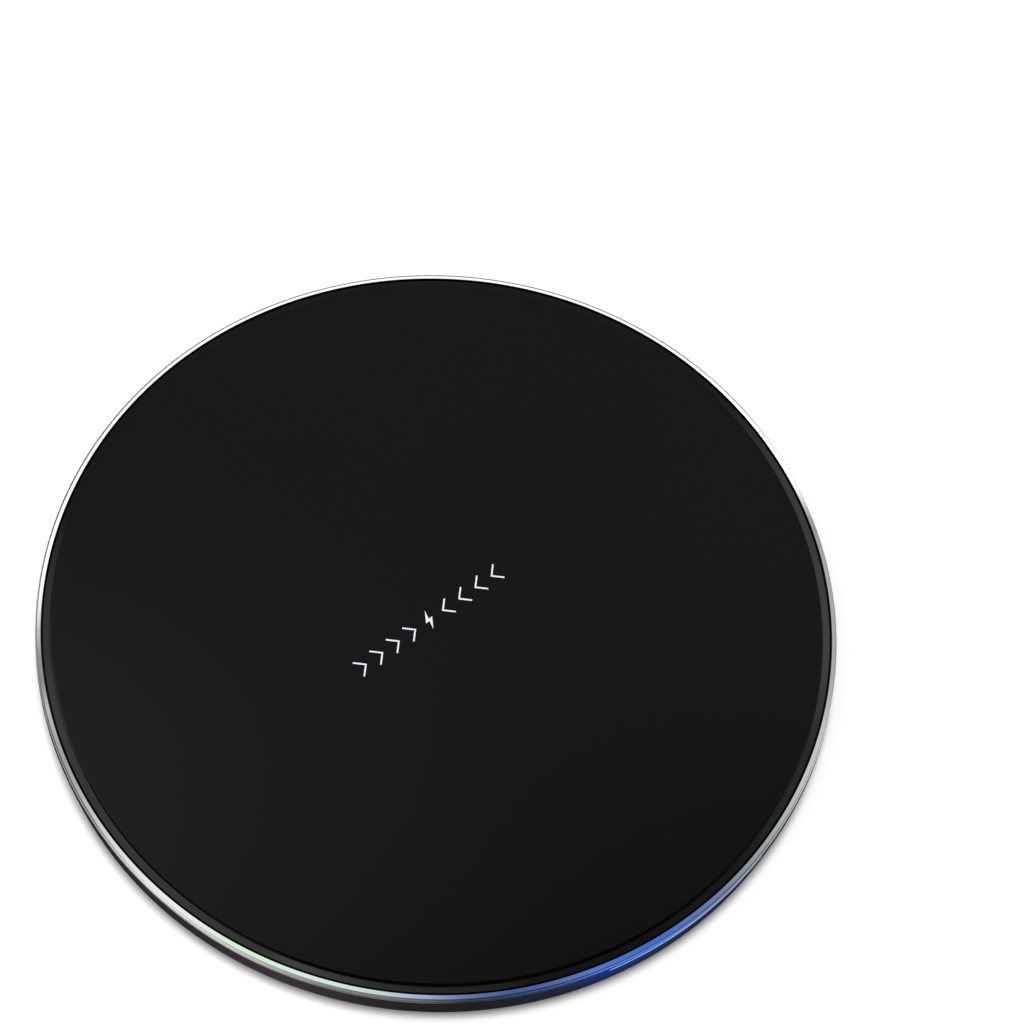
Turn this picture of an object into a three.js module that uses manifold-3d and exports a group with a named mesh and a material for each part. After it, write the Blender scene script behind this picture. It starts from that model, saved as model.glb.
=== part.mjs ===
// Wireless charging pad: a slim round pad with a glass top, an aluminium bezel ring and a moulded base.
// Units are millimetres. The origin is on the table under the middle of the pad, and +Z is up.
// The power socket is at the back (+Y) and the indicator light is at the front (-Y).

import * as THREE from 'three';
import { mergeVertices } from 'three/addons/utils/BufferGeometryUtils.js';
import Module from 'manifold-3d';

const wasm = await Module();
wasm.setup();

// ---------------------------------------------------------------- driving dimensions

const PAD_RADIUS = 50;            // outside of the bezel ring
const PAD_HEIGHT = 6.5;           // table to the top of the glass
const BASE_CLEARANCE = 0.7;       // table to the underside of the base
const FLOOR_THICKNESS = 0.9;      // floor of the base
const GLASS_THICKNESS = 0.8;
const BEZEL_WIDTH = 0.7;          // width of the ring seen from above
const BEZEL_HEIGHT = 1.45;        // height of the metal seen from the side
const COIL_OUTER_RADIUS = 21.5;   // common 44 mm transmitter coil
const COIL_INNER_RADIUS = 10.25;
const COIL_THICKNESS = 1.2;
const FERRITE_THICKNESS = 0.95;
const BOARD_THICKNESS = 0.8;
const BOARD_TOP = 3.0;
const FIXING_RADIUS = 38;         // circle of the screws and the feet
const SCREW_SHANK_RADIUS = 0.85;
const SOCKET_WIDTH = 8.94;        // standard reversible power socket
const SOCKET_HEIGHT = 3.16;
const SOCKET_DEPTH = 7.3;
const SOCKET_CENTRE_Z = 3.25;
const LIGHT_HALF_ANGLE = 14;      // degrees each side of the front
const LIGHT_LINE_HEIGHT = 0.31;   // visible line of light under the ring
const LED_ANGLE = 6;              // degrees each side of the front

const GAP = 0.05;                 // assembly gap between neighbours
const SKIN = 0.02;                // gap under a piece that is glued or soldered down
const FIXING_ANGLES = [45, 135, 225, 315];
const RIM_SEGMENTS = 72;
const INNER_SEGMENTS = 48;
const FOOT_SEGMENTS = 24;
const SMALL_SEGMENTS = 16;

// ---------------------------------------------------------------- derived levels and radii

const GLASS_BOTTOM = PAD_HEIGHT - GLASS_THICKNESS;
const BEZEL_TOP = PAD_HEIGHT - 0.1;
const BEZEL_BOTTOM = BEZEL_TOP - BEZEL_HEIGHT;
const BEZEL_INNER_RADIUS = PAD_RADIUS - BEZEL_WIDTH;
const GLASS_RADIUS = BEZEL_INNER_RADIUS - 0.25;
const LEDGE_TOP = GLASS_BOTTOM - 0.15;
const LEDGE_RADIUS = PAD_RADIUS - 2;
const SKIRT_RADIUS = LEDGE_RADIUS + 0.5;
const LIP_RADIUS = LEDGE_RADIUS - 1.1;
const CARRIER_TOP = LEDGE_TOP - GAP;
const CARRIER_BOTTOM = 4.4;
const LIP_TOP = CARRIER_BOTTOM - GAP;
const LIP_BOTTOM = LIP_TOP - 0.5;
const BASE_TOP = BEZEL_BOTTOM - GAP;
const LIGHT_EXIT_BOTTOM = BASE_TOP + 0.03;
const LIGHT_EXIT_TOP = LIGHT_EXIT_BOTTOM + LIGHT_LINE_HEIGHT;
const FLOOR_TOP = BASE_CLEARANCE + FLOOR_THICKNESS;
const COIL_TOP = GLASS_BOTTOM - 0.2;
const COIL_BOTTOM = COIL_TOP - COIL_THICKNESS;
const FERRITE_TOP = COIL_BOTTOM - GAP;
const FERRITE_BOTTOM = FERRITE_TOP - FERRITE_THICKNESS;
const FERRITE_RADIUS = 24.5;
const WINDOW_RADIUS = COIL_OUTER_RADIUS + 0.8;
const BOARD_BOTTOM = BOARD_TOP - BOARD_THICKNESS;
const BOARD_INNER_RADIUS = FERRITE_RADIUS + 1;
const BOARD_OUTER_RADIUS = 45;
const SOCKET_MOUTH = PAD_RADIUS - 1;
const PART_BOTTOM = BOARD_TOP + SKIN;
const FOOT_RADIUS = 5;
const FOOT_THICKNESS = 1.2;

// ---------------------------------------------------------------- materials

const material = (color, roughness, metalness) =>
  new THREE.MeshStandardMaterial({ color, roughness, metalness });

const glassBlack = material(0x101112, 0.12, 0);
const polishedAluminium = material(0xd6d8da, 0.18, 1);
const mouldedBlack = material(0x1c1c1e, 0.55, 0);
const mouldedWhite = material(0xd8d8d2, 0.6, 0);
const clearAcrylic = material(0x9fc4ff, 0.2, 0);
const adhesiveTape = material(0xc9c4b4, 0.8, 0);
const copperWire = material(0xb5673a, 0.35, 1);
const ferriteGrey = material(0x3b3d40, 0.7, 0.1);
const foamGrey = material(0x45474a, 0.95, 0);
const boardGreen = material(0x1f5a3a, 0.45, 0);
const chipBlack = material(0x18191b, 0.5, 0);
const capacitorTan = material(0xb59a74, 0.55, 0);
const steel = material(0xb9bcbf, 0.3, 1);
const rubberGrey = material(0x2a2b2d, 0.9, 0);
const labelSilver = material(0xb8babc, 0.5, 0.2);

// ---------------------------------------------------------------- geometry helpers

const radians = (degrees) => THREE.MathUtils.degToRad(degrees);

// A closed profile of [radius, height] points, given anticlockwise, turned about the Z axis.
function turned(profile, segments) {
  const points = profile.map(([r, z]) => new THREE.Vector2(r, z));
  const onAxis = profile[0][0] === 0;
  if (!onAxis) {
    points.push(points[0].clone());
  }
  const geometry = new THREE.LatheGeometry(points, segments);
  geometry.rotateX(Math.PI / 2);
  return geometry;
}

function ring(innerRadius, outerRadius, bottom, top, segments) {
  return turned([
    [innerRadius, bottom],
    [outerRadius, bottom],
    [outerRadius, top],
    [innerRadius, top],
  ], segments);
}

function disc(radius, bottom, top, segments = SMALL_SEGMENTS, x = 0, y = 0) {
  const geometry = turned([[0, bottom], [radius, bottom], [radius, top], [0, top]], segments);
  geometry.translate(x, y, 0);
  return geometry;
}

// A box given by its centre in plan and by its bottom and top.
function block(width, depth, bottom, top, x = 0, y = 0) {
  const geometry = new THREE.BoxGeometry(width, depth, top - bottom);
  geometry.translate(x, y, (bottom + top) / 2);
  return geometry;
}

// A flat-sided slot with round ends, standing in the XZ plane and running back from y = front.
function slotAlongY(width, height, front, depth, centreZ) {
  const radius = height / 2;
  const reach = width / 2 - radius;
  const outline = new THREE.Shape();
  outline.absarc(reach, 0, radius, -Math.PI / 2, Math.PI / 2, false);
  outline.absarc(-reach, 0, radius, Math.PI / 2, 3 * Math.PI / 2, false);
  outline.closePath();
  const geometry = new THREE.ExtrudeGeometry(outline, { depth, bevelEnabled: false, curveSegments: 5 });
  geometry.rotateX(Math.PI / 2);
  geometry.translate(0, front, centreZ);
  return geometry;
}

// A round wire through the given points.
function wire(points, radius, steps) {
  const path = new THREE.CatmullRomCurve3(points.map(([x, y, z]) => new THREE.Vector3(x, y, z)));
  const section = new THREE.Shape();
  section.absarc(0, 0, radius, 0, 2 * Math.PI, false);
  return new THREE.ExtrudeGeometry(section, {
    steps,
    extrudePath: path,
    bevelEnabled: false,
    curveSegments: 4,
  });
}

// A wedge pointing from the axis towards the front, used to trim a turned piece to the lit sector.
function frontWedge(halfAngle, bottom, top) {
  const reach = PAD_RADIUS * 1.5;
  const halfWidth = reach * Math.tan(radians(halfAngle));
  const outline = new THREE.Shape();
  outline.moveTo(0, 0);
  outline.lineTo(-halfWidth, -reach);
  outline.lineTo(halfWidth, -reach);
  outline.closePath();
  const geometry = new THREE.ExtrudeGeometry(outline, { depth: top - bottom, bevelEnabled: false });
  geometry.translate(0, 0, bottom);
  return geometry;
}

function toSolid(geometry) {
  const bare = geometry.clone();
  bare.deleteAttribute('normal');
  bare.deleteAttribute('uv');
  const merged = mergeVertices(bare, 1e-4);
  return new wasm.Manifold(new wasm.Mesh({
    numProp: 3,
    vertProperties: new Float32Array(merged.attributes.position.array),
    triVerts: new Uint32Array(merged.index.array),
  }));
}

function toGeometry(solid) {
  const mesh = solid.getMesh();
  const geometry = new THREE.BufferGeometry();
  geometry.setAttribute('position', new THREE.BufferAttribute(new Float32Array(mesh.vertProperties), 3));
  geometry.setIndex(new THREE.BufferAttribute(new Uint32Array(mesh.triVerts), 1));
  geometry.computeVertexNormals();
  return geometry;
}

const cut = (body, ...tools) =>
  toGeometry(tools.reduce((solid, tool) => solid.subtract(toSolid(tool)), toSolid(body)));

const join = (body, ...additions) =>
  toGeometry(additions.reduce((solid, piece) => solid.add(toSolid(piece)), toSolid(body)));

const keepInside = (body, region) => toGeometry(toSolid(body).intersect(toSolid(region)));

// The four places of the screws and feet.
const fixingPlaces = FIXING_ANGLES.map((angle) => ({
  x: FIXING_RADIUS * Math.cos(radians(angle)),
  y: FIXING_RADIUS * Math.sin(radians(angle)),
}));

const pad = new THREE.Group();

function addPart(name, geometry, partMaterial) {
  const mesh = new THREE.Mesh(geometry, partMaterial);
  mesh.name = name;
  pad.add(mesh);
}

// ---------------------------------------------------------------- top: glass and bezel

function makeTopGlass() {
  const bevelWidth = 0.95;
  const bevelDrop = 0.25;
  return turned([
    [0, GLASS_BOTTOM],
    [GLASS_RADIUS - 0.1, GLASS_BOTTOM],
    [GLASS_RADIUS, GLASS_BOTTOM + 0.1],
    [GLASS_RADIUS, PAD_HEIGHT - bevelDrop],
    [GLASS_RADIUS - bevelWidth, PAD_HEIGHT],
    [0, PAD_HEIGHT],
  ], RIM_SEGMENTS);
}

function makeGlassAdhesive() {
  return ring(LEDGE_RADIUS + 0.1, GLASS_RADIUS - 0.15, LEDGE_TOP + SKIN, GLASS_BOTTOM - SKIN, RIM_SEGMENTS);
}

// The ring carries the glass on a ledge, drops a thin skirt inside the base wall, and turns in at
// the bottom to a lip that the carrier clamps. Its top slopes down to a rounded shoulder. The skirt
// is cut away at the socket, and at the light, where the ring's lower edge has a shallow notch.
function makeBezelRing() {
  const faceDrop = 0.22;
  const shoulder = 0.15;
  const body = turned([
    [LIP_RADIUS, LIP_BOTTOM],
    [SKIRT_RADIUS, LIP_BOTTOM],
    [SKIRT_RADIUS, BEZEL_BOTTOM],
    [PAD_RADIUS - 0.1, BEZEL_BOTTOM],
    [PAD_RADIUS, BEZEL_BOTTOM + 0.1],
    [PAD_RADIUS, BEZEL_TOP - faceDrop - shoulder],
    [PAD_RADIUS - shoulder, BEZEL_TOP - faceDrop],
    [BEZEL_INNER_RADIUS, BEZEL_TOP],
    [BEZEL_INNER_RADIUS, LEDGE_TOP],
    [LEDGE_RADIUS, LEDGE_TOP],
    [LEDGE_RADIUS, LIP_TOP],
    [LIP_RADIUS, LIP_TOP],
  ], RIM_SEGMENTS);
  const cutBottom = LIP_BOTTOM - 1;
  const lightCut = frontWedge(LIGHT_HALF_ANGLE + 0.3, cutBottom, LIGHT_EXIT_TOP + 0.03);
  const socketCut = block(SOCKET_WIDTH + 1, 4, cutBottom, BEZEL_BOTTOM, 0, LEDGE_RADIUS);
  return cut(body, lightCut, socketCut);
}

// ---------------------------------------------------------------- base

function makeBaseShell() {
  const wallTop = PAD_RADIUS - 0.25;
  const wallFoot = PAD_RADIUS - 0.65;
  const wallFootZ = 1.0;
  const undersideRadius = wallFoot - 0.5;
  const shelf = LIP_BOTTOM - 0.15;
  const shell = turned([
    [0, BASE_CLEARANCE],
    [undersideRadius, BASE_CLEARANCE],
    [wallFoot, wallFootZ],
    [wallTop, BASE_TOP],
    [SKIRT_RADIUS + 0.1, BASE_TOP],
    [SKIRT_RADIUS + 0.1, shelf],
    [LEDGE_RADIUS, shelf],
    [LEDGE_RADIUS, FLOOR_TOP + 0.5],
    [LEDGE_RADIUS - 0.6, FLOOR_TOP],
    [0, FLOOR_TOP],
  ], RIM_SEGMENTS);

  const padTop = BOARD_BOTTOM - GAP;
  const bossTop = BOARD_TOP - 0.1;
  const headRecessTop = 2.1;
  const footRecessTop = FOOT_THICKNESS + GAP;
  const bosses = fixingPlaces.flatMap(({ x, y }) => [
    disc(5.8, FLOOR_TOP - 0.3, padTop, FOOT_SEGMENTS, x, y),
    disc(2.9, FLOOR_TOP - 0.3, bossTop, SMALL_SEGMENTS, x, y),
  ]);
  const holes = fixingPlaces.flatMap(({ x, y }) => [
    disc(FOOT_RADIUS + 0.15, 0, footRecessTop, FOOT_SEGMENTS, x, y),
    disc(2.1, 0, headRecessTop, SMALL_SEGMENTS, x, y),
    disc(SCREW_SHANK_RADIUS + 0.25, 0, bossTop + 1, SMALL_SEGMENTS, x, y),
  ]);
  const socketNotch = join(
    slotAlongY(SOCKET_WIDTH + 0.5, SOCKET_HEIGHT + 0.1, PAD_RADIUS + 1, 4, SOCKET_CENTRE_Z),
    block(SOCKET_WIDTH + 0.5, 4, SOCKET_CENTRE_Z, BASE_TOP + 1, 0, PAD_RADIUS - 1),
  );
  return cut(join(shell, ...bosses), ...holes, socketNotch);
}

// A bent bar of clear plastic: it takes light from the LEDs on the board, rises inside the base
// wall and shows as a thin line in the notch under the ring at the front.
function makeLightGuide() {
  const entryRadius = BOARD_OUTER_RADIUS - 0.2;
  const entryBottom = BOARD_TOP + 0.1;
  const entryTop = CARRIER_BOTTOM - 0.07;
  const neckOuter = SKIRT_RADIUS - GAP;
  const neckInner = LEDGE_RADIUS + GAP;
  const face = PAD_RADIUS - GAP;
  const profile = turned([
    [entryRadius, entryBottom],
    [LIP_RADIUS + 0.3, entryBottom],
    [neckOuter, entryTop],
    [neckOuter, LIGHT_EXIT_BOTTOM],
    [face, LIGHT_EXIT_BOTTOM],
    [face, LIGHT_EXIT_TOP],
    [neckInner, LIGHT_EXIT_TOP],
    [neckInner, entryTop],
    [entryRadius, entryTop],
  ], RIM_SEGMENTS);
  return keepInside(profile, frontWedge(LIGHT_HALF_ANGLE, 0, PAD_HEIGHT));
}

function makeRubberFoot() {
  const edge = 0.3;
  return turned([
    [0, 0],
    [FOOT_RADIUS - edge, 0],
    [FOOT_RADIUS, edge],
    [FOOT_RADIUS, FOOT_THICKNESS],
    [0, FOOT_THICKNESS],
  ], FOOT_SEGMENTS);
}

// Pan-head screw with a cross recess, standing head down.
function makeBaseScrew() {
  const headRadius = 1.9;
  const headBottom = FOOT_THICKNESS + 0.15;
  const headTop = 2.05;
  const body = turned([
    [0, headBottom],
    [headRadius - 0.4, headBottom],
    [headRadius, headBottom + 0.3],
    [headRadius, headTop],
    [SCREW_SHANK_RADIUS, headTop],
    [SCREW_SHANK_RADIUS, CARRIER_TOP - 0.7],
    [0, CARRIER_TOP - 0.4],
  ], SMALL_SEGMENTS);
  const slotTop = headBottom + 0.4;
  return cut(body, block(2, 0.4, 0, slotTop), block(0.4, 2, 0, slotTop));
}

function makeRatingLabel() {
  const top = BASE_CLEARANCE - SKIN;
  return block(34, 18, top - 0.08, top);
}

// ---------------------------------------------------------------- coil stack

function makeCoilCarrier() {
  const bossBottom = BOARD_TOP - GAP;
  const plate = ring(WINDOW_RADIUS, LEDGE_RADIUS - 0.15, CARRIER_BOTTOM, CARRIER_TOP, RIM_SEGMENTS);
  const bosses = fixingPlaces.map(({ x, y }) =>
    disc(2.4, bossBottom, CARRIER_BOTTOM + 0.3, SMALL_SEGMENTS, x, y));
  const pilotHoles = fixingPlaces.map(({ x, y }) =>
    disc(SCREW_SHANK_RADIUS + GAP, 0, CARRIER_TOP - 0.3, SMALL_SEGMENTS, x, y));
  const socketPocket = block(12, 8, 0, SOCKET_CENTRE_Z + SOCKET_HEIGHT / 2 + 0.1, 0, SOCKET_MOUTH - 4);
  return cut(join(plate, ...bosses), ...pilotHoles, socketPocket);
}

function makeFerritePlate() {
  const leadSlot = block(5, 24, 0, PAD_HEIGHT, 0, 18.5);
  return cut(disc(FERRITE_RADIUS, FERRITE_BOTTOM, FERRITE_TOP, INNER_SEGMENTS), leadSlot);
}

function makeCoilLead(side) {
  const x = side * 1.6;
  const run = (FERRITE_TOP + FERRITE_BOTTOM) / 2;
  const start = side > 0 ? COIL_INNER_RADIUS + 0.6 : COIL_OUTER_RADIUS - 1.5;
  return wire([
    [x, start, run],
    [x, (start + FERRITE_RADIUS) / 2, run],
    [x, FERRITE_RADIUS, run],
    [x, BOARD_INNER_RADIUS + 1.5, BOARD_TOP + 0.55],
    [x, BOARD_INNER_RADIUS + 3.5, BOARD_TOP + 0.42],
  ], 0.35, 14);
}

// A glass bead in the middle of the coil, with a flat lead back to the board.
function makeThermistor() {
  const bead = new THREE.SphereGeometry(0.55, 12, 8);
  bead.translate(0, 0, FERRITE_TOP + 0.65);
  const run = (FERRITE_TOP + FERRITE_BOTTOM) / 2;
  const lead = wire([
    [0, 0, FERRITE_TOP + 0.6],
    [0, 3.5, FERRITE_TOP + 0.35],
    [0, 6.8, FERRITE_TOP + 0.25],
    [0, 9.4, run],
    [0, 17, run],
    [0, FERRITE_RADIUS, run],
    [0, BOARD_INNER_RADIUS + 1.5, BOARD_TOP + 0.45],
    [0, BOARD_INNER_RADIUS + 3.5, BOARD_TOP + 0.3],
  ], 0.2, 24);
  return join(bead, lead);
}

// ---------------------------------------------------------------- circuit board and what is on it

function makeCircuitBoard() {
  const body = ring(BOARD_INNER_RADIUS, BOARD_OUTER_RADIUS, BOARD_BOTTOM, BOARD_TOP, RIM_SEGMENTS);
  const clearances = fixingPlaces.map(({ x, y }) => disc(3.3, 0, PAD_HEIGHT, SMALL_SEGMENTS, x, y));
  const notchFront = SOCKET_MOUTH - SOCKET_DEPTH - 0.2;
  const socketNotch = block(SOCKET_WIDTH + 0.4, 10, 0, PAD_HEIGHT, 0, notchFront + 5);
  return cut(body, ...clearances, socketNotch);
}

function makeSocketShell() {
  const wall = 0.3;
  const outer = slotAlongY(SOCKET_WIDTH, SOCKET_HEIGHT, SOCKET_MOUTH, SOCKET_DEPTH, SOCKET_CENTRE_Z);
  const inner = slotAlongY(
    SOCKET_WIDTH - 2 * wall,
    SOCKET_HEIGHT - 2 * wall,
    SOCKET_MOUTH + 1,
    SOCKET_DEPTH + 2,
    SOCKET_CENTRE_Z,
  );
  const tabs = [-1, 1].map((side) =>
    block(1.4, 2, PART_BOTTOM, BOARD_TOP + 0.35, side * (SOCKET_WIDTH / 2 + 0.4), SOCKET_MOUTH - 5.5));
  return cut(join(outer, ...tabs), inner);
}

function makeSocketTongue() {
  const clearance = 0.35;
  const backDepth = 1.6;
  const back = SOCKET_MOUTH - SOCKET_DEPTH;
  const plug = slotAlongY(
    SOCKET_WIDTH - 2 * clearance,
    SOCKET_HEIGHT - 2 * clearance,
    back + backDepth,
    backDepth,
    SOCKET_CENTRE_Z,
  );
  const tongueReach = 6;
  const tongue = block(
    6.7,
    tongueReach,
    SOCKET_CENTRE_Z - 0.35,
    SOCKET_CENTRE_Z + 0.35,
    0,
    back + tongueReach / 2 + 0.4,
  );
  return join(plug, tongue);
}

// Surface-mounted parts, each lying flat on the board: [width, depth, height] and place in plan.
const boardComponents = [
  { name: 'controller_chip', size: [7, 7, 0.9], x: 33, y: 8, look: chipBlack },
  { name: 'bridge_chip_left', size: [5, 6, 1.0], x: -32, y: 12, look: chipBlack },
  { name: 'bridge_chip_right', size: [5, 6, 1.0], x: -32, y: 3, look: chipBlack },
  { name: 'regulator_chip', size: [3, 3, 0.9], x: 14, y: 37, look: chipBlack },
  { name: 'filter_inductor', size: [4, 4, 1.2], x: 19.5, y: 34, look: ferriteGrey },
  { name: 'input_capacitor_1', size: [3.2, 2.5, 1.2], x: -11, y: 39, look: capacitorTan },
  { name: 'input_capacitor_2', size: [3.2, 2.5, 1.2], x: -11, y: 35.5, look: capacitorTan },
  { name: 'resonant_capacitor_1', size: [3.2, 2.5, 1.2], x: -16.5, y: 31, look: capacitorTan },
  { name: 'resonant_capacitor_2', size: [3.2, 2.5, 1.2], x: -16.5, y: 27.5, look: capacitorTan },
  { name: 'resonant_capacitor_3', size: [3.2, 2.5, 1.2], x: -20.5, y: 31, look: capacitorTan },
  { name: 'resonant_capacitor_4', size: [3.2, 2.5, 1.2], x: -20.5, y: 27.5, look: capacitorTan },
  { name: 'current_sense_resistor', size: [3.2, 1.6, 0.6], x: -26, y: 20, look: chipBlack },
];

function addBoardComponents() {
  for (const { name, size, x, y, look } of boardComponents) {
    const [width, depth, height] = size;
    addPart(name, block(width, depth, PART_BOTTOM, PART_BOTTOM + height, x, y), look);
  }
}

// Side-firing LEDs at the front edge of the board, facing the light guide.
function makeIndicatorLed(angle) {
  const geometry = block(3, 1, PART_BOTTOM, BOARD_TOP + 0.9, 0, -(BOARD_OUTER_RADIUS - 0.9));
  geometry.rotateZ(radians(angle));
  return geometry;
}

// ---------------------------------------------------------------- assembly

addPart('top_glass', makeTopGlass(), glassBlack);
addPart('glass_adhesive_ring', makeGlassAdhesive(), adhesiveTape);
addPart('bezel_ring', makeBezelRing(), polishedAluminium);
addPart('base_shell', makeBaseShell(), mouldedBlack);
addPart('light_guide', makeLightGuide(), clearAcrylic);
addPart('rating_label', makeRatingLabel(), labelSilver);

addPart('coil_carrier', makeCoilCarrier(), mouldedWhite);
addPart(
  'coil_winding',
  ring(COIL_INNER_RADIUS, COIL_OUTER_RADIUS, COIL_BOTTOM, COIL_TOP, INNER_SEGMENTS),
  copperWire,
);
addPart(
  'coil_tape',
  disc(COIL_OUTER_RADIUS - 0.5, COIL_TOP + SKIN, GLASS_BOTTOM - SKIN, INNER_SEGMENTS),
  adhesiveTape,
);
addPart('ferrite_plate', makeFerritePlate(), ferriteGrey);
addPart(
  'ferrite_tape',
  ring(WINDOW_RADIUS + 0.3, FERRITE_RADIUS, FERRITE_TOP + SKIN, CARRIER_BOTTOM - SKIN, INNER_SEGMENTS),
  adhesiveTape,
);
addPart('coil_foam_pad', disc(20, FLOOR_TOP + SKIN, FERRITE_BOTTOM - SKIN, INNER_SEGMENTS), foamGrey);
addPart('coil_lead_inner', makeCoilLead(1), copperWire);
addPart('coil_lead_outer', makeCoilLead(-1), copperWire);
addPart('thermistor', makeThermistor(), chipBlack);

addPart('circuit_board', makeCircuitBoard(), boardGreen);
addBoardComponents();
addPart('indicator_led_left', makeIndicatorLed(-LED_ANGLE), mouldedWhite);
addPart('indicator_led_right', makeIndicatorLed(LED_ANGLE), mouldedWhite);
addPart('socket_shell', makeSocketShell(), steel);
addPart('socket_tongue', makeSocketTongue(), chipBlack);

fixingPlaces.forEach(({ x, y }, index) => {
  const screw = makeBaseScrew();
  screw.translate(x, y, 0);
  addPart(`base_screw_${index + 1}`, screw, steel);

  const foot = makeRubberFoot();
  foot.translate(x, y, 0);
  addPart(`rubber_foot_${index + 1}`, foot, rubberGrey);
});

export default pad;
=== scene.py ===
"""Looks of the round wireless charging pad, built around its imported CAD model.

Everything is in metres in the CAD frame: +Z up, the power socket at the back (+Y), the indicator
light at the front (-Y). Places and sizes come from the CAD nodes' boxes.
"""

import math

import bmesh
import bpy
from mathutils import Matrix, Quaternion, Vector


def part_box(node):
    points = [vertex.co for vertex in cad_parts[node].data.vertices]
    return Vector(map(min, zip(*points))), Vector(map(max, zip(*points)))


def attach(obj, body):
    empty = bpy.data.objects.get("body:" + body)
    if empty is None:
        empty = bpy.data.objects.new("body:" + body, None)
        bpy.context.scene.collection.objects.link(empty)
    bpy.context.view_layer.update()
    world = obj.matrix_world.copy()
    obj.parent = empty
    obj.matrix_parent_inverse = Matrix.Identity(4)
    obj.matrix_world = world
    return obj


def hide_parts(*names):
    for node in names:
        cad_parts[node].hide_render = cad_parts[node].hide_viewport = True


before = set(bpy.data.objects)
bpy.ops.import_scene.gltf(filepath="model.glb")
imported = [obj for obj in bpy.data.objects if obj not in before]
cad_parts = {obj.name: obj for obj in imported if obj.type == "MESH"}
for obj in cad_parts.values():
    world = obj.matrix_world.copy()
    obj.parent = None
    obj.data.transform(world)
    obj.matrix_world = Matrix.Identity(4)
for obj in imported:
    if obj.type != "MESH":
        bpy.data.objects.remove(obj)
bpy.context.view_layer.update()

MM = 0.001
RIM_STEPS = 256        # facets round a large turned piece
SMALL_STEPS = 64       # facets round a small one
SCREW_STEPS = 32       # facets round a screw and its holes
CORNER_STEPS = 6       # facets round a small rounded corner
SHARP_ANGLE = math.radians(35)    # edges bent more than this stay sharp

GLASS_LOW, GLASS_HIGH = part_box("top_glass")
BEZEL_LOW, BEZEL_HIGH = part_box("bezel_ring")
BASE_LOW, BASE_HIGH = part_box("base_shell")
PAD_RADIUS = BEZEL_HIGH.x
PAD_TOP = GLASS_HIGH.z
RING_TOP = BEZEL_HIGH.z
RING_BOTTOM = BASE_HIGH.z + 0.05 * MM
RING_WIDTH = 0.7 * MM
RING_SLOPE = math.radians(22)    # the ring's top face slopes down to the outside
SHOULDER_Z = RING_TOP - RING_WIDTH * math.tan(RING_SLOPE)
CENTRE = Vector((0, 0, PAD_TOP))


# ---------------- camera

CAMERA_AZIMUTH = math.radians(-44.4)
CAMERA_ELEVATION = 63.0
CAMERA_ROLL = math.radians(6.1)
CAMERA_DISTANCE = 10.4 * PAD_RADIUS
AIM_OFFSET = Vector((0.3377, 0.1243, 0)) * PAD_RADIUS    # the pad sits low and left of the middle
SENSOR_WIDTH = 36
FOCAL_LENGTH = 144.58


def new_object(name, data):
    thing = bpy.data.objects.new(name, data)
    bpy.context.scene.collection.objects.link(thing)
    return thing


def camera_direction(turn, elevation):
    """Unit vector at an elevation, turned about Z from the camera's side of the pad, both in degrees."""
    azimuth = CAMERA_AZIMUTH + math.radians(turn)
    rise = math.radians(elevation)
    return Vector((math.sin(azimuth) * math.cos(rise), -math.cos(azimuth) * math.cos(rise), math.sin(rise)))


def make_camera():
    back = camera_direction(0, CAMERA_ELEVATION)
    data = bpy.data.cameras.new("camera")
    data.sensor_width = SENSOR_WIDTH
    data.lens = FOCAL_LENGTH
    data.clip_start = 0.01
    data.clip_end = 20
    camera = new_object("camera", data)
    camera.location = CENTRE + AIM_OFFSET + CAMERA_DISTANCE * back
    camera.rotation_mode = "QUATERNION"
    level = (-back).to_track_quat("-Z", "Y")
    camera.rotation_quaternion = level @ Quaternion((0, 0, 1), CAMERA_ROLL)
    bpy.context.scene.camera = camera


# ---------------- material helpers

def grey(level):
    return (level, level, level)


class NodeMaker:
    """Short calls for the nodes of a material or of the world."""

    def __init__(self, owner, place):
        owner.use_nodes = True
        self.nodes = owner.node_tree.nodes
        self.links = owner.node_tree.links
        self.place = self.nodes.new("ShaderNodeTexCoord").outputs[place]

    def connect(self, node, inputs):
        """Gives each input named a constant, or links it to another node's output."""
        for socket, value in inputs.items():
            if isinstance(value, bpy.types.NodeSocket):
                self.links.new(value, node.inputs[socket])
            else:
                node.inputs[socket].default_value = value
        return node

    def add(self, kind, inputs):
        return self.connect(self.nodes.new("ShaderNode" + kind), inputs)

    def math(self, operation, first, second):
        node = self.add("Math", {0: first, 1: second})
        node.operation = operation
        return node.outputs["Value"]

    def spread(self, source, low, high, source_low=0.0, source_high=1.0, curve="LINEAR"):
        """A value mapped from one range to another."""
        node = self.add("MapRange", {"Value": source, "To Min": low, "To Max": high})
        self.connect(node, {"From Min": source_low, "From Max": source_high})
        node.interpolation_type = curve
        return node.outputs["Result"]


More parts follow.
